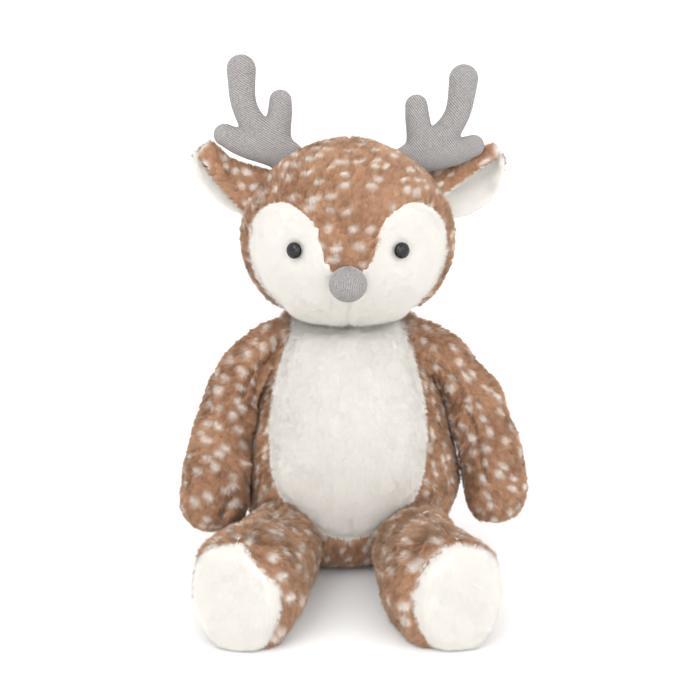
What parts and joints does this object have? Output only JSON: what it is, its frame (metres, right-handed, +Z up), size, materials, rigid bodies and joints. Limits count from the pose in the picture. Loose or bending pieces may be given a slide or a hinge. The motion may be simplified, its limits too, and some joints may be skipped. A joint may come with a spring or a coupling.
{
  "type": "plush deer",
  "caption": "Seated stuffed deer: jointed head, arms and legs in spotted short plush, cream face and belly, knitted antlers and nose, plastic eyes.",
  "frame": {"origin": "middle of the flat underside of the seat, on the surface the deer sits on", "axes": "+Z up, -Y to the front of the deer, +X to the deer's own left"},
  "size_m": [0.229, 0.246, 0.3315],
  "materials": {
    "brown_plush": "short dense tan-brown pile with white fawn spots",
    "cream_plush": "short dense cream pile",
    "grey_knit": "fine ribbed heather-grey knit",
    "stuffing": "matted polyester fibre",
    "pellet_bag": "closely woven cotton bag filled with plastic pellets",
    "eye_plastic": "glossy black",
    "washer_plastic": "natural white"
  },
  "bodies": {
    "torso": {"belly_panel": "cream_plush", "seat_panel": "brown_plush", "side_panel_l": "brown_plush", "side_panel_r": "brown_plush", "pellet_bag": "pellet_bag", "torso_stuffing": "stuffing"},
    "neck": {"neck_stuffing": "stuffing"},
    "head": {"cheek_panel_l": "cream_plush", "cheek_panel_r": "cream_plush", "crown_panel_l": "brown_plush", "crown_panel_r": "brown_plush", "head_stuffing": "stuffing", "eye_l": "eye_plastic", "eye_r": "eye_plastic", "eye_washer_l": "washer_plastic", "eye_washer_r": "washer_plastic", "nose_cover": "grey_knit", "nose_stuffing": "stuffing"},
    "ear_l": {"ear_back_l": "brown_plush", "ear_lining_l": "cream_plush"},
    "antler_l": {"antler_front_l": "grey_knit", "antler_back_l": "grey_knit", "antler_stuffing_l": "stuffing"},
    "arm_l": {"arm_outer_l": "brown_plush", "arm_inner_l": "brown_plush", "arm_stuffing_l": "stuffing"},
    "leg_l": {"leg_outer_l": "brown_plush", "leg_inner_l": "brown_plush", "sole_l": "cream_plush", "leg_stuffing_l": "stuffing"},
    "ear_r": {"ear_back_r": "brown_plush", "ear_lining_r": "cream_plush"},
    "antler_r": {"antler_front_r": "grey_knit", "antler_back_r": "grey_knit", "antler_stuffing_r": "stuffing"},
    "arm_r": {"arm_outer_r": "brown_plush", "arm_inner_r": "brown_plush", "arm_stuffing_r": "stuffing"},
    "leg_r": {"leg_outer_r": "brown_plush", "leg_inner_r": "brown_plush", "sole_r": "cream_plush", "leg_stuffing_r": "stuffing"},
    "tail": {"tail_top": "brown_plush", "tail_under": "cream_plush"}
  },
  "joints": [
    {"name": "head_turn", "type": "hinge", "parent": "torso", "child": "neck", "pos_m": [0, -0.005, 0.158], "axis": [0, 0, 1], "range_deg": [-30, 30], "stiffness_Nm_per_rad": 0.6},
    {"name": "head_nod", "type": "hinge", "parent": "neck", "child": "head", "pos_m": [0, -0.005, 0.158], "axis": [1, 0, 0], "range_deg": [-10, 4], "stiffness_Nm_per_rad": 1.2},
    {"name": "ear_fold_l", "type": "hinge", "parent": "head", "child": "ear_l", "pos_m": [0.055, 0.0152, 0.245], "axis": [-0.4226, 0, 0.9063], "range_deg": [-8, 25], "stiffness_Nm_per_rad": 0.03},
    {"name": "antler_sway_l", "type": "hinge", "parent": "head", "child": "antler_l", "pos_m": [0.039, 0.00929, 0.265], "axis": [1, 0, 0], "range_deg": [-12, 12], "stiffness_Nm_per_rad": 0.06},
    {"name": "arm_lift_l", "type": "hinge", "parent": "torso", "child": "arm_l", "pos_m": [0.038, 0, 0.144], "axis": [-1, 0, 0], "range_deg": [-20, 75], "stiffness_Nm_per_rad": 0.15},
    {"name": "leg_lift_l", "type": "hinge", "parent": "torso", "child": "leg_l", "pos_m": [0.04, -0.034, 0.026], "axis": [-1, 0, 0], "range_deg": [-30, 15], "stiffness_Nm_per_rad": 0.25},
    {"name": "ear_fold_r", "type": "hinge", "parent": "head", "child": "ear_r", "pos_m": [-0.055, 0.0152, 0.245], "axis": [-0.5446, 0, -0.8387], "range_deg": [-2, 25], "stiffness_Nm_per_rad": 0.03},
    {"name": "antler_sway_r", "type": "hinge", "parent": "head", "child": "antler_r", "pos_m": [-0.039, 0.00929, 0.265], "axis": [1, 0, 0], "range_deg": [-12, 12], "stiffness_Nm_per_rad": 0.06},
    {"name": "arm_lift_r", "type": "hinge", "parent": "torso", "child": "arm_r", "pos_m": [-0.038, 0, 0.144], "axis": [-1, 0, 0], "range_deg": [-4, 75], "stiffness_Nm_per_rad": 0.15},
    {"name": "leg_lift_r", "type": "hinge", "parent": "torso", "child": "leg_r", "pos_m": [-0.04, -0.034, 0.026], "axis": [-1, 0, 0], "range_deg": [-30, 15], "stiffness_Nm_per_rad": 0.25},
    {"name": "tail_lift", "type": "hinge", "parent": "torso", "child": "tail", "pos_m": [0, 0.0531, 0.048], "axis": [1, 0, 0], "range_deg": [-25, 20], "stiffness_Nm_per_rad": 0.03}
  ]
}
